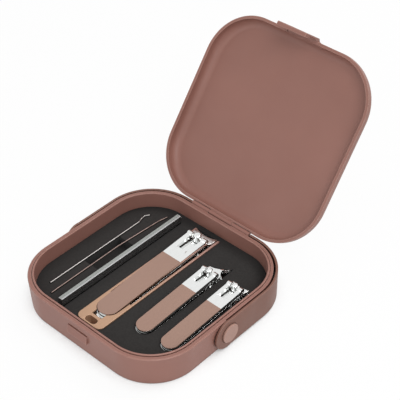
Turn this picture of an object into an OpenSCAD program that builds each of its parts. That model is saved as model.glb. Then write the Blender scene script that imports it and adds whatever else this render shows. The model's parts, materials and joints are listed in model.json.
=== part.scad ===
// Manicure set case: square rounded case with hinged lid, latch flap, swing handle,
// foam tray, three nail clippers, nail file and two ear picks.
// Millimetres. Origin at the centre of the base's underside, +Z up, +Y hinge side, -Y latch side.
// The stored pose has the lid open and the handle swung back round the base.

/* [Base] */
// outside width and depth of the case at the rim
case_side = 105; // [104:0.5:130]
// outside corner radius at the rim
corner_r = 27.5; // [20:0.5:30]
// height of the shelf that the lid closes over
base_h = 18; // [18:0.5:24]
// how far the foot stands in from the rim on each side
foot_inset = 0.9; // [0.3:0.1:2]
// wall thickness of the base
base_wall = 3.4; // [3.2:0.1:4.4]
// floor thickness of the base
floor_t = 3; // [2:0.1:3]
// height of the foam's top face
foam_top = 9.3; // [8:0.1:11]

/* [Lid] */
// height of the lid above its own rim
lid_h = 8; // [8:0.5:14]
// radius round the lid's top edge
lid_round = 6; // [4:0.5:6]
// wall thickness of the lid
lid_wall = 1.6; // [1.4:0.1:2]
// angle of the open lid in the stored pose
lid_open = 126.6; // [90:0.1:128]

/* [Latch] */
// width of the latch flap
latch_w = 18.6; // [16:0.2:26]
// angle the latch flap is tilted out in the stored pose
latch_out = 0; // [0:1:30]

/* [Handle] */
// thickness of the handle strap at the arms
strap_t = 1.2; // [1.2:0.1:2.5]
// diameter of the round pivot caps
cap_d = 10.6; // [9:0.1:14]

/* [Clippers] */
// width of the large clipper's lever
large_lever_w = 12.7; // [11:0.1:13]
// width of the middle clipper's lever
middle_lever_w = 9.6; // [8.5:0.1:10]
// width of the small clipper's lever
small_lever_w = 9.5; // [8.5:0.1:10]
// angle the large clipper's lever rises at in the stored pose
large_rise = 2.75; // [2.2:0.05:3]
// angle the two small clippers' levers rise at in the stored pose
small_rise = 3.2; // [2.5:0.1:3.5]

/* [File and picks] */
// thickness of the nail file
file_t = 2.6; // [1.6:0.1:3]
// length of the nail file
file_len = 87; // [70:1:90]
// diameter of the picks' wire
wire_d = 0.8; // [0.8:0.1:1.2]

/* [Hidden] */
$fn = 64;
half = case_side / 2;
flat = half - corner_r;             // half the straight run of a side
moving_gap = 0.3;                   // between faces of pieces that move apart
run_gap = 0.05;                     // radial, pins in bores
over = 1;                           // cutters pass a face by this
// rim
foot_round = 1.2;
shelf_w = 1.9;                      // outer shelf, from the wall inwards
groove_w = 0.5;
groove_d = 0.4;
lip_h = 0.7;
lip_edge = 0.25;
rim_z = base_h + moving_gap;        // lid's rim with the lid closed
// recess behind the strap
recess_in = 0.5;
block_x = 20;
block_y = half - 0.1;
hinge_pin_x = block_x - 1.5;
// lid hinge
hinge_y = half + 0.9;
hinge_z = base_h;
hinge_pin_r = 0.6;
knuckle_r = 1.25;
relief_r = knuckle_r + moving_gap;
lid_knuckle_x = 7.9;
base_knuckle_x = lid_knuckle_x + moving_gap;
// latch
latch_pin_r = 0.5;
latch_y = -half + lid_wall / 2;
latch_z = rim_z + lid_wall;
latch_barrel_r = 1.1;
latch_face = -half - 1.9;
latch_ear = 1;                      // barrel beyond the flap at each end
latch_foot = 4.2;
slot_w = latch_w + 2 * (latch_ear + moving_gap);
latch_pin_len = slot_w + 3;
slot_top = latch_z + 2.5;
ridge_bottom = 8.8;
ridge_top = 13.5;
ridge_face = -half - 0.9;
ridge_slit = 0.6;                   // slit over the ridge
ridge_x = [-6, 7.5];
// handle
pivot_y = -0.7;
arm_nose = 1.2;                     // centre of the arm's round end, in front of the pivot
nose_y = pivot_y - arm_nose;
pivot_z = base_h / 2 + 0.5;
arm_in = half + moving_gap;
arm_out = arm_in + strap_t;
strap_in_y = half + 0.5;
strap_out_y = half + 1.8;
strap_r = 27.3;
strap_z0 = 1.2;
strap_z1 = base_h - 0.1;
strap_notch_z = hinge_z - knuckle_r - 0.55;
strap_notch_x = block_x + 0.4;
arm_end_r = pivot_z - 0.9;
pocket_web = 0.9;
cap_in = arm_in + pocket_web + moving_gap;
cap_t = 1;
stud_r = 2.5;
stud_depth = 2.6;
// foam
pocket_gap = 0.3;
finger = [-36.6, -12.7, -23.2, 13.1];   // x0, y0, x1, y1
finger_z = 4.6;                     // foam left under the finger recess
// clippers, one list each; these name its places
at_x = 0;                           // centre line
tail_y = 1;                         // round end of the blades
jaw_y = 2;                          // tips of the cutting edge
end_y = 3;                          // free end of the lever
end_z = 4;                          // lever's top face there
lever_w = 5;                        // at the cross pin
taper = 6;                          // each side narrower at the free end by this
rise = 7;
pin_y = 8;                          // cross pin
cover_y = 9;                        // end of the painted cover
slot = 10;                          // slot length from the cross pin
slot_r = 11;                        // slot corners
joint_z = 12;                       // plane between the blades at the tail
foot_z = 13;                        // underside of the post
jaw_half = 14;                      // half the jaw's width
edge_x = 15;                        // round that hollows the cutting edge
edge_r = 16;
beak = 17;                          // length of the point on a slanted jaw
head_r = 18;                        // post head
slot_gap = 19;                      // between the post head and the fork
low_foot = floor_t + moving_gap;
large = [-2.5, -35.6, 45, -34, 10.2, large_lever_w, 0.3, large_rise, 37.6, 17.6, 12.2, 0.8,
  7, 4.5, 7.1, 0, 16, 0, 2.1, 1.4];
middle = [20.4, -30.4, 34.2, -30, 11, middle_lever_w, 0, small_rise, 21.8, 6, 9.9, 1.6,
  7.8, low_foot, 4.9, -5.4, 11, 4.2, 1.6, 0.9];
small = [37.4, -30.4, 27, -30, 11, small_lever_w, 0, small_rise, 22.2, 6, 9.9, 1.6,
  7.8, low_foot, 5.3, 0, 16, 0, 1.6, 0.9];
blade_t = 1;
lever_t = 1.8;
cover_t = 0.5;
hub_r = 1.7;
cross_r = 0.7;
cross_drop = 0.9;                   // cross pin below the lever's top face
tall = case_side;                   // cutters that only need to pass through
post_r = 1.3;
post_hole_r = 1.7;
post_proud = 1.5;                   // post head above the lever
foot_r = 2.4;
foot_t = 0.7;
rivet_r = 1.2;
rivet_head = 0.3;
rivet_in = 7;
hub_clear = 0.45;                   // upper blade under the lever's hub
level = 20;                         // blades lie flat together this far from the tail
head_len = 8;                       // flat part of a blade before the post
bite_over = 1.2;                    // cutting edges meet this far over the tail joint
bite_gap = 0.3;                     // between the cutting edges
lip_t = 0.9;                        // wall down or up to the cutting edge
// catcher shell
shell_w = 17.2;
shell_wall = 1.3;
shell_floor = 1.2;
shell_deck = 1;
shell_y0 = -43.2;
shell_y1 = 45.6;
shell_z0 = floor_t + moving_gap;
shell_z1 = 9.9;
shell_r = 3.5;
shell_deck_y = -20;
window = [-3.4, -36.8, 3.4, -28];   // x0, y0, x1, y1 from the shell's centre line
lanyard_y = -40.4;
lanyard_r = 1.9;
lanyard_half = 1.7;
// file and picks
file_x = -22.6;
file_z0 = floor_t + moving_gap;
file_z1 = 14;
grit_w = 1.5;
grit_t = 0.15;
wire_z = foam_top + 0.2;
hook_path = [[-37.4, -35.8], [-37.3, 28.5], [-38.3, 31.6], [-38.6, 34.2], [-37.2, 36.4]];
bent_path = [[-31.5, -40.4], [-31.7, 7.5], [-30.3, 29], [-29.8, 36], [-28.7, 41.5]];

// ---- shared shapes
module outline(inset) {
  r = corner_r - inset;
  square([2 * (flat + r), 2 * flat], center = true);
  square([2 * flat, 2 * (flat + r)], center = true);
  for (sx = [-1, 1], sy = [-1, 1]) translate([sx * flat, sy * flat]) circle(r);
}

module plate(inset, z0, z1) translate([0, 0, z0]) linear_extrude(z1 - z0) outline(inset);

// sweeps a section round the case; x is measured outwards from the wall, y is height
module sweep() for (q = [0:3]) rotate(90 * q) {
  translate([flat, flat, 0]) rotate_extrude(angle = 90) translate([corner_r, 0]) children();
  translate([half, flat, 0]) rotate([90, 0, 0]) linear_extrude(2 * flat) children();
}

module box(a, b) translate(a) cube(b - a);

module along_x(x0, x1, y, z, r) translate([x0, y, z]) rotate([0, 90, 0]) cylinder(h = x1 - x0, r = r);

// a section in the YZ plane, run from x0 to x1
module run_x(x0, x1) translate([x0, 0, 0]) rotate([90, 0, 90]) linear_extrude(x1 - x0) children();

module open_lid() translate([0, hinge_y, hinge_z]) rotate([-lid_open, 0, 0])
  translate([0, -hinge_y, -hinge_z]) children();

// ---- case
module base_section() {
  f = foot_inset;
  r = foot_round;
  polygon([for (a = [270:18:360]) [-f - r + r * cos(a), r + r * sin(a)],
    [0, base_h - 0.4], [-0.4, base_h], [-shelf_w, base_h],
    [-shelf_w, base_h - groove_d], [-shelf_w - groove_w, base_h - groove_d],
    [-shelf_w - groove_w, base_h + lip_h - lip_edge], [-shelf_w - groove_w - lip_edge, base_h + lip_h],
    [-base_wall + lip_edge, base_h + lip_h], [-base_wall, base_h + lip_h - lip_edge],
    [-base_wall, floor_t], [-base_wall - 2, floor_t], [-base_wall - 2, 0]]);
}

module strap_recess() difference() {
  box([-case_side, nose_y, -over], [case_side, case_side, base_h + over]);
  plate(recess_in, -2 * over, base_h + 2 * over);
  box([-block_x, 0, -2 * over], [block_x, block_y, base_h + 2 * over]);
}

module base_shell() color([0.52, 0.37, 0.32]) difference() {
  union() {
    difference() {
      union() {
        sweep() base_section();
        plate(base_wall + 2, 0, floor_t);
      }
      strap_recess();
    }
    for (s = [0, 1]) mirror([s, 0, 0]) {
      along_x(base_knuckle_x, block_x, hinge_y, hinge_z, knuckle_r);
      box([base_knuckle_x, half - 1, hinge_z - knuckle_r], [block_x, hinge_y, hinge_z]);
    }
    run_x(ridge_x[0], ridge_x[1]) polygon([[-half + 1.5, ridge_bottom], [ridge_face, ridge_bottom],
      [ridge_face, ridge_bottom + 0.6], [-half - 0.3, ridge_top], [-half + 1.5, ridge_top]]);
  }
  along_x(-hinge_pin_x, hinge_pin_x, hinge_y, hinge_z, hinge_pin_r);
  along_x(-base_knuckle_x, base_knuckle_x, hinge_y, hinge_z, relief_r);
  for (s = [0, 1]) mirror([s, 0, 0]) along_x(half - stud_depth, half + over, pivot_y, pivot_z, stud_r);
  box([ridge_x[0], -half - over, ridge_top], [ridge_x[1], -half + ridge_slit, ridge_top + ridge_slit]);
}

module hinge_pin() color([0.8, 0.8, 0.8])
  along_x(-hinge_pin_x, hinge_pin_x, hinge_y, hinge_z, hinge_pin_r);

module lid_section() translate([-lid_round, rim_z]) difference() {
  union() {
    square([lid_round, lid_h - lid_round]);
    translate([0, lid_h - lid_round]) intersection() {
      circle(lid_round);
      square(lid_round);
    }
  }
  translate([-over, -over]) square([lid_round - lid_wall + over, lid_h - lid_round + over]);
  translate([0, lid_h - lid_round]) circle(lid_round - lid_wall);
}

module lid_shell() color([0.55, 0.38, 0.34]) open_lid() difference() {
  union() {
    difference() {
      union() {
        sweep() lid_section();
        plate(lid_round, rim_z + lid_h - lid_wall, rim_z + lid_h);
      }
      for (s = [-1, 1]) along_x(s * (base_knuckle_x + block_x) / 2 - (block_x - lid_knuckle_x) / 2 - 0.15,
        s * (base_knuckle_x + block_x) / 2 + (block_x - lid_knuckle_x) / 2 + 0.15,
        hinge_y, hinge_z, relief_r);
      box([-slot_w / 2, -half - over, rim_z - over], [slot_w / 2, -half + 2.4, slot_top]);
    }
    along_x(-lid_knuckle_x, lid_knuckle_x, hinge_y, hinge_z, knuckle_r);
    box([-lid_knuckle_x, half - 1, rim_z], [lid_knuckle_x, hinge_y, hinge_z + knuckle_r]);
  }
  along_x(-lid_knuckle_x - over, lid_knuckle_x + over, hinge_y, hinge_z, hinge_pin_r + run_gap);
  along_x(-latch_pin_len / 2, latch_pin_len / 2, latch_y, latch_z, latch_pin_r);
}

module latch_pin() color([0.8, 0.8, 0.8]) open_lid()
  along_x(-latch_pin_len / 2, latch_pin_len / 2, latch_y, latch_z, latch_pin_r);

module latch_flap() color([0.55, 0.38, 0.34]) open_lid()
  translate([0, latch_y, latch_z]) rotate([-latch_out, 0, 0]) translate([0, -latch_y, -latch_z])
  difference() {
    union() {
      run_x(-latch_w / 2, latch_w / 2)
        polygon([[latch_y, latch_z + 1], [latch_y - 0.9, latch_z + 1], [latch_face, latch_z - 1.1],
          [latch_face, latch_foot + 0.4], [latch_face + 0.4, latch_foot], [-half + 0.25, latch_foot],
          [-half + 0.25, ridge_bottom - 0.4], [ridge_face - moving_gap, ridge_bottom - 0.4],
          [ridge_face - moving_gap, ridge_top + 1.1], [-half - 0.6, ridge_top + 1.9],
          [-half - 0.6, rim_z], [latch_y, latch_z - 1]]);
      along_x(-latch_w / 2 - latch_ear, latch_w / 2 + latch_ear, latch_y, latch_z, latch_barrel_r);
    }
    along_x(-latch_w, latch_w, latch_y, latch_z, latch_pin_r + run_gap);
  }

// ---- handle
module strap_outline(x, y, r) {
  translate([-x, nose_y]) square([2 * x, y - r - nose_y]);
  translate([-x + r, 0]) square([2 * (x - r), y]);
  for (s = [-1, 1]) translate([s * (x - r), y - r]) circle(r);
}

module handle() color([0.50, 0.35, 0.30]) difference() {
  union() {
    translate([0, 0, strap_z0]) linear_extrude(strap_z1 - strap_z0) difference() {
      strap_outline(arm_out, strap_out_y, strap_r + strap_t);
      translate([0, -over]) strap_outline(arm_in, strap_in_y + over, strap_r);
      translate([-case_side, nose_y - case_side]) square([2 * case_side, case_side]);
    }
    for (s = [0, 1]) mirror([s, 0, 0]) along_x(arm_in, arm_out, nose_y, pivot_z, arm_end_r);
  }
  box([-strap_notch_x, half - 4, strap_notch_z], [strap_notch_x, half + 4, strap_z1 + over]);
  for (s = [0, 1]) mirror([s, 0, 0]) {
    along_x(arm_in - over, arm_out + over, pivot_y, pivot_z, stud_r + run_gap);
    along_x(arm_in + pocket_web, arm_out + over, pivot_y, pivot_z, cap_d / 2 + moving_gap);
  }
}

module handle_cap() color([0.66, 0.54, 0.49])
  translate([half - stud_depth, pivot_y, pivot_z]) rotate([0, 90, 0]) rotate_extrude() {
    square([stud_r, cap_in + cap_t - half + stud_depth]);
    polygon([[0, cap_in - half + stud_depth], [cap_d / 2, cap_in - half + stud_depth],
      [cap_d / 2, cap_in - half + stud_depth + cap_t - 0.3],
      [cap_d / 2 - 0.3, cap_in - half + stud_depth + cap_t], [0, cap_in - half + stud_depth + cap_t]]);
  }

module handle_cap_right() handle_cap();
module handle_cap_left() mirror([1, 0, 0]) handle_cap();

// ---- foam
module shell_outline(grow) translate([large[at_x], 0]) {
  translate([-shell_w / 2 - grow, shell_y0 + shell_r])
    square([shell_w + 2 * grow, shell_y1 - shell_y0 - shell_r + grow]);
  translate([-shell_w / 2 + shell_r, shell_y0 - grow])
    square([shell_w - 2 * shell_r, shell_r + grow]);
  for (s = [-1, 1]) translate([s * (shell_w / 2 - shell_r), shell_y0 + shell_r]) circle(shell_r + grow);
}

// hole in the foam, round at the tail; over a slanted jaw its end slants too
module clipper_pocket(c) translate([c[at_x], 0]) {
  w = c[lever_w] / 2 + pocket_gap;
  j = c[jaw_half] + pocket_gap;
  translate([-w, c[tail_y] + w - pocket_gap]) square([2 * w, c[pin_y] - c[tail_y] - w + 2 * pocket_gap]);
  translate([0, c[tail_y] + w - pocket_gap]) circle(w);
  y1 = c[jaw_y] + pocket_gap;
  if (c[beak] > 0) polygon([[-j, c[pin_y] - 4], [j, c[pin_y] - 4], [j, y1], [j - 1, y1],
    [j - 3, y1 - 0.7 * c[beak]], [-j, y1 - 1.5 * c[beak]]]);
  else translate([-j, c[pin_y] - 4]) square([2 * j, y1 - c[pin_y] + 4]);
}

module wire(path, r, z) {
  for (i = [0:len(path) - 2]) {
    d = path[i + 1] - path[i];
    translate([path[i][0], path[i][1], z]) rotate([-90, 0, atan2(d[1], d[0]) - 90])
      cylinder(h = norm(d), r = r, $fn = 24);
  }
  for (p = path) translate([p[0], p[1], z]) sphere(r * 1.08, $fn = 24);
}

module groove(path, w) for (i = [0:len(path) - 2]) {
  d = path[i + 1] - path[i];
  translate([path[i][0], path[i][1], wire_z - w / 2]) rotate(atan2(d[1], d[0]))
    translate([-w / 2, -w / 2, 0]) cube([norm(d) + w, w, foam_top]);
}

module foam_tray() color([0.23, 0.22, 0.21]) difference() {
  plate(base_wall, floor_t, foam_top);
  translate([0, 0, floor_t - over]) linear_extrude(foam_top) {
    shell_outline(pocket_gap);
    clipper_pocket(middle);
    clipper_pocket(small);
    translate([file_x - pocket_gap, -file_len / 2 - pocket_gap])
      square([file_t + 2 * pocket_gap, file_len + 2 * pocket_gap]);
  }
  box([finger[0], finger[1], finger_z], [finger[2], finger[3], foam_top + over]);
  groove(hook_path, wire_d + 0.6);
  groove(bent_path, wire_d + 0.6);
}

// ---- clippers
module lever_frame(c) translate([c[at_x], c[end_y], c[end_z]]) rotate([c[rise], 0, 0]) children();

// cross pin, along the lever and in height
function pin_run(c) = (c[pin_y] - c[end_y] - cross_drop * sin(c[rise])) / cos(c[rise]);
function pin_z(c) = c[end_z] + pin_run(c) * sin(c[rise]) - cross_drop * cos(c[rise]);
function cover_run(c) = (c[cover_y] - c[end_y]) / cos(c[rise]);
function high(c) = pin_z(c) - hub_r - hub_clear;    // upper blade's top face at the jaw
function low(c) = c[foot_z] + foot_t;               // lower blade's underside at the jaw
function bite_z(c) = c[joint_z] + bite_over;
function edge_at(c) = [c[edge_x], c[jaw_y] + sqrt(pow(c[edge_r], 2) - pow(c[jaw_half] - c[edge_x], 2))];

// blade seen from above: round tail and straight body
module blade_plan(c) {
  w = c[lever_w] / 2 - 0.1 - c[taper];
  translate([0, c[tail_y] + w]) circle(w);
  translate([-w, c[tail_y] + w]) square([2 * w, c[pin_y] + 3 - c[tail_y] - w]);
}

// jaw seen from above, up to y1: hollow edge, and a point at the right where it is slanted
module jaw_plan(c, y1) difference() {
  y0 = c[pin_y] + 1;
  w = c[lever_w] / 2 - 0.5 - c[taper];
  j = c[jaw_half];
  polygon([[-w, y0], [-j, y0 + 2], [-j, y1], [j, y1], [j, y0 + 2], [w, y0]]);
  translate(edge_at(c)) circle(c[edge_r]);
  if (c[beak] > 0) translate([j, c[jaw_y]])
    polygon([[1, -9.9], [0, -9.9], [-2.1, -7], [-2.5, -5.4], [-2.1, -4.2], [-0.7, -2], [0, 0], [1, 0]]);
}

// the part of the jaw that lies along its hollow edge
module lip_plan(c, y1) intersection() {
  jaw_plan(c, y1);
  translate(edge_at(c)) circle(c[edge_r] + lip_t);
}

// side view of a blade's plate, from its face at the tail joint to that at the jaw
module plate_side(c, face, jaw_face, t) polygon([[c[tail_y], face], [c[tail_y] + level, face],
  [c[pin_y] - head_len, jaw_face], [c[jaw_y] + over, jaw_face], [c[jaw_y] + over, jaw_face + t],
  [c[pin_y] - head_len - 0.2, jaw_face + t], [c[tail_y] + level - 0.2, face + t], [c[tail_y], face + t]]);

// lip_z and beak_z are [from, to] heights
module blade(c, face, jaw_face, t, lip_z, beak_z, hole) translate([c[at_x], 0, 0]) difference() {
  union() {
    intersection() {
      run_x(-c[jaw_half] - over, c[jaw_half] + over) plate_side(c, face, jaw_face, t);
      union() {
        linear_extrude(tall) blade_plan(c);
        linear_extrude(tall) jaw_plan(c, c[jaw_y] - c[beak]);
      }
    }
    translate([0, 0, lip_z[0]]) linear_extrude(lip_z[1] - lip_z[0]) lip_plan(c, c[jaw_y] - c[beak]);
    if (c[beak] > 0) translate([0, 0, beak_z[0]]) linear_extrude(beak_z[1] - beak_z[0]) lip_plan(c, c[jaw_y]);
  }
  translate([0, c[pin_y], 0]) cylinder(h = tall, r = hole);
  translate([0, c[tail_y] + rivet_in, 0]) cylinder(h = tall, r = rivet_r);
}

module lower_blade(c) color([0.78, 0.72, 0.71]) blade(c, c[joint_z], low(c) + blade_t, -blade_t,
  [low(c) + blade_t / 2, bite_z(c) - bite_gap / 2], [bite_z(c) - lip_t, bite_z(c) - bite_gap / 2], post_r);

module upper_blade(c) color([0.90, 0.90, 0.91]) blade(c, c[joint_z], high(c) - blade_t, blade_t,
  [bite_z(c) + bite_gap / 2, high(c) - blade_t / 2], [bite_z(c) + bite_gap / 2, bite_z(c) + lip_t], post_hole_r);

module rivet(c) color([0.8, 0.8, 0.8]) translate([c[at_x], c[tail_y] + rivet_in, c[joint_z] - blade_t - rivet_head]) {
  cylinder(h = 2 * blade_t + rivet_head, r = rivet_r);
  cylinder(h = rivet_head, r = rivet_r + 0.7);
}

module post(c) color([0.84, 0.80, 0.80]) difference() {
  neck_z = pin_z(c) - hub_r - 0.1;
  top_z = pin_z(c) + cross_drop + post_proud;
  translate([c[at_x], c[pin_y], 0]) {
    translate([0, 0, c[foot_z]]) cylinder(h = foot_t, r = foot_r);
    translate([0, 0, c[foot_z]]) cylinder(h = neck_z - c[foot_z] + 0.5, r = post_r);
    translate([0, 0, neck_z]) cylinder(h = top_z - neck_z - 0.5, r = c[head_r]);
    translate([0, 0, top_z - 0.5]) cylinder(h = 0.5, r1 = c[head_r], r2 = c[head_r] - 0.5);
  }
  along_x(c[at_x] - tall, c[at_x] + tall, c[pin_y], pin_z(c), cross_r);
}

module cross_pin(c) color([0.84, 0.84, 0.85])
  along_x(c[at_x] - c[lever_w] / 2 + 0.1, c[at_x] + c[lever_w] / 2 - 0.1, c[pin_y], pin_z(c), cross_r);

// lever seen from above, from its free end to y1
module lever_plan(c, grow, y1) {
  end_w = c[lever_w] / 2 - c[taper];
  w1 = end_w + c[taper] * (y1 - end_w) / (pin_run(c) - end_w);
  translate([0, end_w]) circle(end_w + grow);
  polygon([[-end_w - grow, end_w], [end_w + grow, end_w], [w1 + grow, y1], [-w1 - grow, y1]]);
}

module slot_plan(c) {
  f = c[head_r] + c[slot_gap] - c[slot_r];
  translate([0, pin_run(c) - c[slot] + c[slot_r]]) {
    for (s = [-1, 1]) translate([s * f, 0]) circle(c[slot_r]);
    translate([-f, -c[slot_r]]) square([2 * f, c[slot_r]]);
    translate([-f - c[slot_r], 0]) square([2 * (f + c[slot_r]), tall]);
  }
}

module lever(c) color([0.92, 0.92, 0.93]) lever_frame(c) difference() {
  w = c[lever_w] / 2;
  union() {
    translate([0, 0, -lever_t]) linear_extrude(lever_t) lever_plan(c, 0, pin_run(c));
    along_x(-w, w, pin_run(c), -cross_drop, hub_r);
  }
  box([-w - over, -over, -cover_t], [w + over, cover_run(c), over]);
  translate([0, 0, -tall / 2]) linear_extrude(tall) slot_plan(c);
  along_x(-tall, tall, pin_run(c), -cross_drop, cross_r + run_gap);
}

module lever_cover(c) color([0.65, 0.53, 0.49]) lever_frame(c) translate([0, 0, -cover_t])
  linear_extrude(cover_t) lever_plan(c, 0, cover_run(c));

module catcher_shell() color([0.79, 0.64, 0.52]) difference() {
  translate([0, 0, shell_z0]) linear_extrude(shell_z1 - shell_z0) shell_outline(0);
  translate([large[at_x], 0, 0]) {
    inner = shell_w / 2 - shell_wall;
    box([-inner, window[1], shell_z0 + shell_floor], [inner, tall, shell_z1 - shell_deck]);
    box([-inner, shell_deck_y, shell_z0 + shell_floor], [inner, tall, shell_z1 + over]);
    box([window[0], window[1], shell_z0 + shell_floor], [window[2], window[3], shell_z1 + over]);
    translate([0, large[end_y], shell_z0 + shell_floor]) linear_extrude(tall)
      lever_plan(large, moving_gap, pin_run(large));
    linear_extrude(tall) {
      for (s = [-1, 1]) translate([s * lanyard_half, lanyard_y]) circle(lanyard_r);
      translate([-lanyard_half, lanyard_y - lanyard_r]) square([2 * lanyard_half, 2 * lanyard_r]);
    }
  }
}

module large_lower_blade() lower_blade(large);
module large_upper_blade() upper_blade(large);
module large_rivet() rivet(large);
module large_post() post(large);
module large_cross_pin() cross_pin(large);
module large_lever() lever(large);
module large_lever_cover() lever_cover(large);
module middle_lower_blade() lower_blade(middle);
module middle_upper_blade() upper_blade(middle);
module middle_rivet() rivet(middle);
module middle_post() post(middle);
module middle_cross_pin() cross_pin(middle);
module middle_lever() lever(middle);
module middle_lever_cover() lever_cover(middle);
module small_lower_blade() lower_blade(small);
module small_upper_blade() upper_blade(small);
module small_rivet() rivet(small);
module small_post() post(small);
module small_cross_pin() cross_pin(small);
module small_lever() lever(small);
module small_lever_cover() lever_cover(small);

// ---- file and picks
module nail_file() color([0.55, 0.56, 0.57])
  box([file_x, -file_len / 2, file_z0], [file_x + file_t, file_len / 2, file_z1]);

module file_grit() color([0.72, 0.72, 0.70])
  box([file_x + 0.1, -file_len / 2 + 0.5, file_z1],
    [file_x + 0.1 + grit_w, file_len / 2 - 0.5, file_z1 + grit_t]);

module hook_pick() color([0.85, 0.85, 0.86]) wire(hook_path, wire_d / 2, wire_z);
module bent_pick() color([0.85, 0.80, 0.78]) wire(bent_path, wire_d / 2, wire_z);

base_shell();
foam_tray();
hinge_pin();
handle_cap_left();
handle_cap_right();
handle();
lid_shell();
latch_pin();
latch_flap();
catcher_shell();
large_lower_blade();
large_upper_blade();
large_rivet();
large_post();
large_cross_pin();
large_lever();
large_lever_cover();
middle_lower_blade();
middle_upper_blade();
middle_rivet();
middle_post();
middle_cross_pin();
middle_lever();
middle_lever_cover();
small_lower_blade();
small_upper_blade();
small_rivet();
small_post();
small_cross_pin();
small_lever();
small_lever_cover();
nail_file();
file_grit();
hook_pick();
bent_pick();
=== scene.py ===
"""Looks of the manicure set case: materials, foam, file ribs, studio and camera."""
import json
import math

import bmesh
import bpy
from mathutils import Matrix, Vector

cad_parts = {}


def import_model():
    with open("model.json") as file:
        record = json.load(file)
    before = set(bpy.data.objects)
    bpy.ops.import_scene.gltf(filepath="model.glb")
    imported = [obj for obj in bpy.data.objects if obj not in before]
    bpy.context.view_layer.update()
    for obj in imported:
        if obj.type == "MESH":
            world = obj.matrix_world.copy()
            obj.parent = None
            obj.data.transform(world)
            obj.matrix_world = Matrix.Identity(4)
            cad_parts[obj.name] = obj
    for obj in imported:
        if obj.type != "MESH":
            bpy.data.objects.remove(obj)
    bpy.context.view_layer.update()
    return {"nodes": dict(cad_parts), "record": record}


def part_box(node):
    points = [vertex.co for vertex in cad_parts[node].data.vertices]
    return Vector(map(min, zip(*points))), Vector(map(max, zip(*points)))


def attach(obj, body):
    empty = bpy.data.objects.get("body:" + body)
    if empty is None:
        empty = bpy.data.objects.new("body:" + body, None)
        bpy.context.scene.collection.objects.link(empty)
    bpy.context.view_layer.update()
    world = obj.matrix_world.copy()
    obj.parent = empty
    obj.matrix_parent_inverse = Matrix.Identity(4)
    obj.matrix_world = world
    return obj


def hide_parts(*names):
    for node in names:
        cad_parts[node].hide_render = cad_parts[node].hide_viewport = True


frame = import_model()
NODES = frame["nodes"]
MM = 0.001

# ---- colours, linear RGB
CASE = (0.272, 0.128, 0.101)
# painted highlight: the paler colour put on the case's edges, where light catches them
CASE_EDGE_HIGHLIGHT = (0.58, 0.36, 0.305)
# painted shade: the dark colour put in the case's gaps and inner corners
CASE_GAP_SHADE = (0.075, 0.024, 0.016)
STRAP = (0.185, 0.084, 0.060)
CAP = (0.36, 0.208, 0.167)
FOAM = (0.0195, 0.0175, 0.0165)
CHROME = (0.81, 0.82, 0.812)
# painted shade: the dark colour put in the chrome's gaps and slots
CHROME_GAP_SHADE = (0.07, 0.062, 0.06)
STEEL = (0.50, 0.50, 0.50)
PICK = (0.34, 0.32, 0.31)
PICK_FAR = (0.20, 0.145, 0.13)
FILE_TOP = (0.30, 0.315, 0.30)
CATCHER = (0.50, 0.305, 0.195)
CATCHER_FAR = (0.42, 0.235, 0.20)
COVER = (0.325, 0.198, 0.152)
FLOOR = (0.85, 0.85, 0.85)

# ---- surface patterns: cells per metre, and the stretch that draws cells into lines along Y
BLOTCHES = 35
GLOSS = 90
# noise scale that breaks up the painted edge highlight
EDGE_HIGHLIGHT_BREAKS = 260
FINE_LINES = 5200
FOAM_CELLS = 2600
FOAM_LINT = 900
FOAM_WAVES = 420
FILE_GRAIN = 9000
ALONG_Y = (1, 0.02, 1)
ALONG_Y_SHORT = (1, 0.05, 1)
FINE_BUMP = 0.5
NODE_SAMPLES = 4

# ---- rounds on the pieces' edges, by material slot
ROUND = {
    "case": 0.22 * MM,
    "catcher": 0.2 * MM,
    "cover": 0.15 * MM,
    "chrome": 0.12 * MM,
    "steel": 0.1 * MM,
}
FOAM_ROUND = 0.35 * MM
FOAM_SEGMENTS = 3
WELD_DISTANCE = 0.001 * MM
SHARP_ANGLE = 35
FLAT_WEIGHT = 100

# ---- the photograph's view, and the studio
AZIMUTH = 42.34
ELEVATION = 39.686
DISTANCE = 0.6334
TARGET = (-0.01848, 0.05709, 0.018)
LENS = 104.46
SENSOR = 36
LAMPS_AIM = (0, 0.02, 0.02)
SKY_LIGHT = 0.40
SKY_WHITE = 1.0
FLOOR_HALF = 4.0
SHADOW_REACH = 14 * MM
GLOW_OPEN = 0.93
GLOW_UNDER = 0.1

# ---- sockets of the Mix node's colours, which share their names with other types
MIX_A, MIX_B, MIX_RESULT = 6, 7, 2


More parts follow.
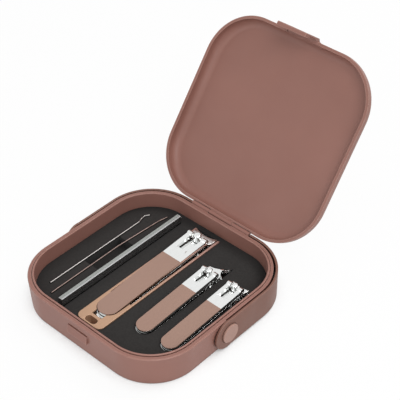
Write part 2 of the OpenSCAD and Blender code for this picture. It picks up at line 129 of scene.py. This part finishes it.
class Shader:
    """A material with a Principled shader and short calls for what feeds it."""

    def __init__(self, name, color, rough, metal=0.0):
        self.mat = bpy.data.materials.new(name)
        self.mat.use_nodes = True
        self.tree = self.mat.node_tree
        self.bsdf = self.tree.nodes["Principled BSDF"]
        self.bsdf.inputs["Base Color"].default_value = (*color, 1)
        self.bsdf.inputs["Roughness"].default_value = rough
        self.bsdf.inputs["Metallic"].default_value = metal
        self.coords = self.add("ShaderNodeTexCoord")
        self.normal = None

    def add(self, kind, **settings):
        """A new node; a setting goes to the input of its name, or else to the node."""
        node = self.tree.nodes.new(kind)
        for key, value in settings.items():
            if key in node.inputs:
                node.inputs[key].default_value = value
            else:
                setattr(node, key, value)
        return node

    def link(self, out, into):
        self.tree.links.new(out, into)

    def noise(self, scale, detail=3.0, stretch=(1, 1, 1)):
        """Noise over the object's own coordinates; scale is in cells per metre."""
        mapping = self.add("ShaderNodeMapping")
        mapping.inputs["Scale"].default_value = stretch
        self.link(self.coords.outputs["Object"], mapping.inputs["Vector"])
        noise = self.add("ShaderNodeTexNoise", Scale=scale, Detail=detail)
        self.link(mapping.outputs["Vector"], noise.inputs["Vector"])
        return noise.outputs["Fac"]

    def along(self, axis):
        """The object's own coordinate along an axis, in metres."""
        split = self.add("ShaderNodeSeparateXYZ")
        self.link(self.coords.outputs["Object"], split.inputs[0])
        return split.outputs[axis]

    def ranged(self, value, low, high, start=0.3, end=0.7):
        """Value's range from start to end, turned into low to high."""
        node = self.add("ShaderNodeMapRange")
        limits = {"From Min": start, "From Max": end, "To Min": low, "To Max": high}
        for key, number in limits.items():
            node.inputs[key].default_value = number
        self.link(value, node.inputs["Value"])
        return node.outputs["Result"]

    def mix(self, factor, a, b):
        """Colour mix; a and b are colours or sockets."""
        node = self.add("ShaderNodeMix", data_type="RGBA")
        self.link(factor, node.inputs["Factor"])
        for socket, value in ((node.inputs[MIX_A], a), (node.inputs[MIX_B], b)):
            if isinstance(value, tuple):
                socket.default_value = (*value, 1)
            else:
                self.link(value, socket)
        return node.outputs[MIX_RESULT]

    def times(self, a, b):
        node = self.add("ShaderNodeMath", operation="MULTIPLY")
        self.link(a, node.inputs[0])
        self.link(b, node.inputs[1])
        return node.outputs[0]

    def color(self, socket):
        self.link(socket, self.bsdf.inputs["Base Color"])

    def rough(self, socket):
        self.link(socket, self.bsdf.inputs["Roughness"])

    def bump(self, height, distance, strength=1.0):
        node = self.add("ShaderNodeBump", Distance=distance, Strength=strength)
        self.link(height, node.inputs["Height"])
        if self.normal:
            self.link(self.normal, node.inputs["Normal"])
        self.normal = node.outputs["Normal"]
        self.link(self.normal, self.bsdf.inputs["Normal"])

    def edges(self, radius):
        """About 1 along edges and 0 on flats."""
        bevel = self.add("ShaderNodeBevel", Radius=radius)
        bevel.samples = NODE_SAMPLES
        geometry = self.add("ShaderNodeNewGeometry")
        dot = self.add("ShaderNodeVectorMath", operation="DOT_PRODUCT")
        self.link(bevel.outputs["Normal"], dot.inputs[0])
        self.link(geometry.outputs["Normal"], dot.inputs[1])
        return self.ranged(dot.outputs["Value"], 1.0, 0.0, start=0.86, end=0.995)

    def crevice(self, distance, start, end):
        """1 in narrow gaps and inner corners, 0 in the open: the mask for painted shade."""
        shade = self.add("ShaderNodeAmbientOcclusion", Distance=distance)
        shade.samples = NODE_SAMPLES
        return self.ranged(shade.outputs["AO"], 1.0, 0.0, start, end)


def tint(color, by):
    """The colour made lighter or darker."""
    return tuple(min(1.0, c * by) for c in color)


def moulded(name, color, edge_highlight, rough=0.46, gap_shade=CASE_GAP_SHADE):
    """Soft-touch moulded plastic: fine grain, faint blotches, a painted highlight along its edges
    broken up by noise, and painted shade in its gaps and inner corners.
    """
    s = Shader(name, color, rough)
    blotch = s.ranged(s.noise(BLOTCHES, 4), 0, 1)
    body = s.mix(blotch, tint(color, 0.96), tint(color, 1.04))
    # painted highlight: a paler colour along the edges, broken up by noise
    highlight_mask = s.times(s.edges(radius=0.5 * MM), s.ranged(s.noise(EDGE_HIGHLIGHT_BREAKS, 4), 0.3, 0.75))
    highlighted = s.mix(highlight_mask, body, edge_highlight)
    # painted shade: the dark colour mixed in where gaps and inner corners are
    s.color(s.mix(s.crevice(5 * MM, start=0.05, end=0.54), highlighted, gap_shade))
    s.rough(s.ranged(s.noise(GLOSS), rough - 0.05, rough + 0.06))
    s.bump(s.noise(FINE_LINES, 2), 0.010 * MM, FINE_BUMP)
    s.bsdf.inputs["Specular IOR Level"].default_value = 0.4
    return s.mat


def brushed(name, color, rough, metal=1.0, along=ALONG_Y, depth=0.003 * MM, gap_shade=None, reach=1.6 * MM):
    """Metal with fine lines along Y, and painted shade in its gaps where a shade colour is given."""
    s = Shader(name, color, rough, metal)
    lines = s.noise(FINE_LINES, stretch=along)
    body = s.mix(s.ranged(lines, 0, 1), tint(color, 0.95), tint(color, 1.03))
    # painted shade: the shade colour mixed in where gaps and inner corners are
    s.color(s.mix(s.crevice(reach, start=0.1, end=0.62), body, gap_shade) if gap_shade else body)
    s.rough(s.ranged(lines, rough * 0.9, rough * 1.15))
    if depth:
        s.bump(lines, depth, FINE_BUMP)
    return s.mat


def catcher_metal():
    """Anodised shell: warmer and paler at its tail, fine lines along it."""
    s = Shader("catcher_metal", CATCHER, rough=0.42, metal=0.35)
    lines = s.noise(FINE_LINES, stretch=ALONG_Y)
    far = s.ranged(s.along("Y"), 0, 1, start=-30 * MM, end=40 * MM)
    base = s.mix(far, CATCHER, CATCHER_FAR)
    body = s.mix(s.ranged(lines, 0.15, 0), base, tint(CATCHER, 0.7))
    # painted shade: a dark copy of the far colour in the shell's gaps and inner corners
    s.color(s.mix(s.crevice(2.5 * MM, start=0.15, end=0.7), body, tint(CATCHER_FAR, 0.2)))
    s.rough(s.ranged(lines, 0.38, 0.46))
    s.bump(lines, 0.002 * MM, FINE_BUMP)
    return s.mat


def foam_material():
    """Die-cut EVA foam: fine closed cells and lint, with painted shade in its recesses."""
    s = Shader("foam", FOAM, rough=0.95)
    cells = s.add("ShaderNodeTexVoronoi", Scale=FOAM_CELLS)
    s.link(s.coords.outputs["Object"], cells.inputs["Vector"])
    body = s.mix(s.ranged(s.noise(FOAM_LINT, 5), 0, 1), tint(FOAM, 0.85), tint(FOAM, 1.2))
    # painted shade: the foam nearly black in its recesses, pockets and around the tools
    s.color(s.mix(s.crevice(8 * MM, start=0.25, end=0.9), body, tint(FOAM, 0.1)))
    s.bump(cells.outputs["Distance"], 0.04 * MM, FINE_BUMP)
    s.bump(s.noise(FOAM_WAVES, 4), 0.04 * MM, 0.35)
    s.bsdf.inputs["Sheen Weight"].default_value = 0.12
    s.bsdf.inputs["Specular IOR Level"].default_value = 0.3
    return s.mat


def file_steel():
    """The file's ribbed top: grey metal with a fine speckle."""
    s = Shader("grit", FILE_TOP, rough=0.42, metal=0.6)
    grain = s.noise(FILE_GRAIN)
    s.color(s.mix(s.ranged(grain, 0, 1), tint(FILE_TOP, 0.8), tint(FILE_TOP, 1.35)))
    s.rough(s.ranged(grain, 0.35, 0.5))
    s.bump(grain, 0.01 * MM, 0.6)
    return s.mat


MATERIALS = {
    # each moulded plastic carries a painted edge highlight and painted shade in its gaps
    "case": moulded("case_plastic", CASE, CASE_EDGE_HIGHLIGHT),
    "strap": moulded("strap_plastic", STRAP, tint(CASE_EDGE_HIGHLIGHT, 0.7), rough=0.5),
    "cap": moulded("cap_plastic", CAP, tint(CAP, 1.35), rough=0.42, gap_shade=tint(CAP, 0.25)),
    "foam": foam_material(),
    # painted shade in the gaps of the steel and chrome pieces
    "steel": brushed("brushed_steel", STEEL, rough=0.26, gap_shade=tint(STEEL, 0.12), reach=2.5 * MM),
    "chrome": brushed("chrome", CHROME, rough=0.14, along=ALONG_Y_SHORT, depth=0, gap_shade=CHROME_GAP_SHADE),
    "pick": brushed("pick_steel", PICK, rough=0.3, depth=0),
    "pick_far": brushed("pick_steel_warm", PICK_FAR, rough=0.3, depth=0),
    "catcher": catcher_metal(),
    "cover": brushed("lever_paint", COVER, rough=0.5, metal=0.0, depth=0.001 * MM),
    "grit": file_steel(),
}
SLOTS = {part["node"]: part["material_slot"] for part in frame["record"]["subparts"]}
# pieces with a material of their own in place of their slot's
OWN = {"handle": "strap", "hook_pick": "pick", "bent_pick": "pick_far"}


def dress(obj, material):
    obj.data.materials.clear()
    obj.data.materials.append(material)


def soften(obj, width, segments=2):
    """Small rounds on a piece's sharp edges, with its flats still shaded flat."""
    weld = obj.modifiers.new("weld", "WELD")
    weld.merge_threshold = WELD_DISTANCE
    bevel = obj.modifiers.new("round", "BEVEL")
    bevel.width = width
    bevel.segments = segments
    bevel.limit_method = "ANGLE"
    bevel.angle_limit = math.radians(SHARP_ANGLE)
    flats = obj.modifiers.new("flats", "WEIGHTED_NORMAL")
    flats.mode = "FACE_AREA"
    flats.weight = FLAT_WEIGHT


for name, node in NODES.items():
    slot = SLOTS[name]
    dress(node, MATERIALS[OWN.get(name, slot)])
    if slot in ROUND:
        soften(node, ROUND[slot])


# ---- foam, with pressed-in pocket edges
def foam_insert():
    foam = bpy.data.objects.new("foam_insert", NODES["foam_tray"].data.copy())
    bpy.context.scene.collection.objects.link(foam)
    soften(foam, FOAM_ROUND, FOAM_SEGMENTS)
    dress(foam, MATERIALS["foam"])
    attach(foam, "base")
    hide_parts("foam_tray")


foam_insert()


# ---- ribs across the top of the nail file
def file_ribs(pitch=0.9 * MM, depth=0.16 * MM, fall=0.02 * MM, sunk=0.05 * MM):
    """One closed strip of ribs: each crest falls a little, then drops to a groove."""
    crest, groove = 0.62, 0.7
    low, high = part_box("file_grit")
    mesh = bmesh.new()
    count = int((high[1] - low[1]) / pitch)
    step = (high[1] - low[1]) / count
    section = []
    for i in range(count):
        y = low[1] + i * step
        section.append((y, high[2]))
        section.append((y + crest * step, high[2] - fall))
        section.append((y + groove * step, high[2] - depth))
    section.append((high[1], high[2]))
    rows = []
    for x in (low[0], high[0]):
        top = [mesh.verts.new((x, y, z)) for y, z in section]
        foot = [mesh.verts.new((x, y, low[2] - sunk)) for y, z in section]
        rows.append((top, foot))
    (top_a, foot_a), (top_b, foot_b) = rows
    for i in range(len(section) - 1):
        mesh.faces.new((top_a[i], top_b[i], top_b[i + 1], top_a[i + 1]))
        mesh.faces.new((foot_a[i + 1], foot_b[i + 1], foot_b[i], foot_a[i]))
        mesh.faces.new((top_a[i + 1], foot_a[i + 1], foot_a[i], top_a[i]))
        mesh.faces.new((top_b[i], foot_b[i], foot_b[i + 1], top_b[i + 1]))
    mesh.faces.new((top_a[0], foot_a[0], foot_b[0], top_b[0]))
    mesh.faces.new((top_a[-1], top_b[-1], foot_b[-1], foot_a[-1]))
    data = bpy.data.meshes.new("file_ribs")
    mesh.to_mesh(data)
    mesh.free()
    ribs = bpy.data.objects.new("file_ribs", data)
    bpy.context.scene.collection.objects.link(ribs)
    dress(ribs, MATERIALS["grit"])
    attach(ribs, "file")
    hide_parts("file_grit")


file_ribs()


# ---- studio
def look_from(azimuth, elevation, distance, target):
    """A matrix whose -Z looks at target from that direction."""
    a, e = math.radians(azimuth), math.radians(elevation)
    back = Vector((math.sin(a) * math.cos(e), -math.cos(a) * math.cos(e), math.sin(e)))
    right = Vector((math.cos(a), math.sin(a), 0))
    up = back.cross(right)
    turn = Matrix((right, up, back)).transposed().to_4x4()
    return Matrix.Translation(Vector(target) + back * distance) @ turn


def area_light(name, azimuth, elevation, distance, size, watts):
    data = bpy.data.lights.new(name, "AREA")
    data.shape = "SQUARE"
    data.size = size
    data.energy = watts
    lamp = bpy.data.objects.new(name, data)
    lamp.matrix_world = look_from(azimuth, elevation, distance, LAMPS_AIM)
    bpy.context.scene.collection.objects.link(lamp)


def rays(tree, *kinds):
    """1 for rays of the named kinds, 0 for others."""
    path = tree.nodes.new("ShaderNodeLightPath")
    seen = path.outputs[kinds[0]]
    for kind in kinds[1:]:
        either = tree.nodes.new("ShaderNodeMath")
        either.operation = "MAXIMUM"
        tree.links.new(seen, either.inputs[0])
        tree.links.new(path.outputs[kind], either.inputs[1])
        seen = either.outputs[0]
    return seen


def world():
    """White to the camera and in reflections, soft grey light otherwise."""
    sky = bpy.data.worlds.new("studio")
    sky.use_nodes = True
    tree = sky.node_tree
    back = tree.nodes["Background"]
    back.inputs["Color"].default_value = (1, 1, 1, 1)
    strength = tree.nodes.new("ShaderNodeMapRange")
    strength.inputs["To Min"].default_value = SKY_LIGHT
    strength.inputs["To Max"].default_value = SKY_WHITE
    seen = rays(tree, "Is Camera Ray", "Is Transmission Ray", "Is Glossy Ray")
    tree.links.new(seen, strength.inputs["Value"])
    tree.links.new(strength.outputs["Result"], back.inputs["Strength"])
    bpy.context.scene.world = sky


def floor():
    """White floor whose glow to the camera fades close to the case, so the shadow stays."""
    data = bpy.data.meshes.new("floor")
    corners = [(x * FLOOR_HALF, y * FLOOR_HALF, 0) for x, y in ((-1, -1), (1, -1), (1, 1), (-1, 1))]
    data.from_pydata(corners, [], [(0, 1, 2, 3)])
    obj = bpy.data.objects.new("floor", data)
    bpy.context.scene.collection.objects.link(obj)
    shade = Shader("floor_white", FLOOR, rough=0.9)
    glow = shade.add("ShaderNodeEmission")
    mix = shade.add("ShaderNodeMixShader")
    near_case = shade.crevice(SHADOW_REACH, start=0.2, end=0.75)
    open_share = shade.ranged(near_case, GLOW_OPEN, GLOW_UNDER, start=0, end=1)
    seen = rays(shade.tree, "Is Camera Ray", "Is Glossy Ray")
    shade.link(shade.times(seen, open_share), mix.inputs[0])
    shade.link(shade.bsdf.outputs[0], mix.inputs[1])
    shade.link(glow.outputs[0], mix.inputs[2])
    shade.link(mix.outputs[0], shade.tree.nodes["Material Output"].inputs["Surface"])
    data.materials.append(shade.mat)


def camera():
    """The photograph's view: a long lens from the front right, above."""
    data = bpy.data.cameras.new("camera")
    data.sensor_width = SENSOR
    data.lens = LENS
    cam = bpy.data.objects.new("camera", data)
    cam.matrix_world = look_from(AZIMUTH, ELEVATION, DISTANCE, TARGET)
    bpy.context.scene.collection.objects.link(cam)
    bpy.context.scene.camera = cam


world()
floor()
camera()
area_light("key", azimuth=62, elevation=48, distance=1.2, size=0.7, watts=7.5)
area_light("fill", azimuth=-12, elevation=16, distance=1.4, size=0.9, watts=3.8)
area_light("rim", azimuth=168, elevation=55, distance=1.3, size=0.6, watts=6.5)
bpy.context.scene.view_settings.view_transform = "Standard"
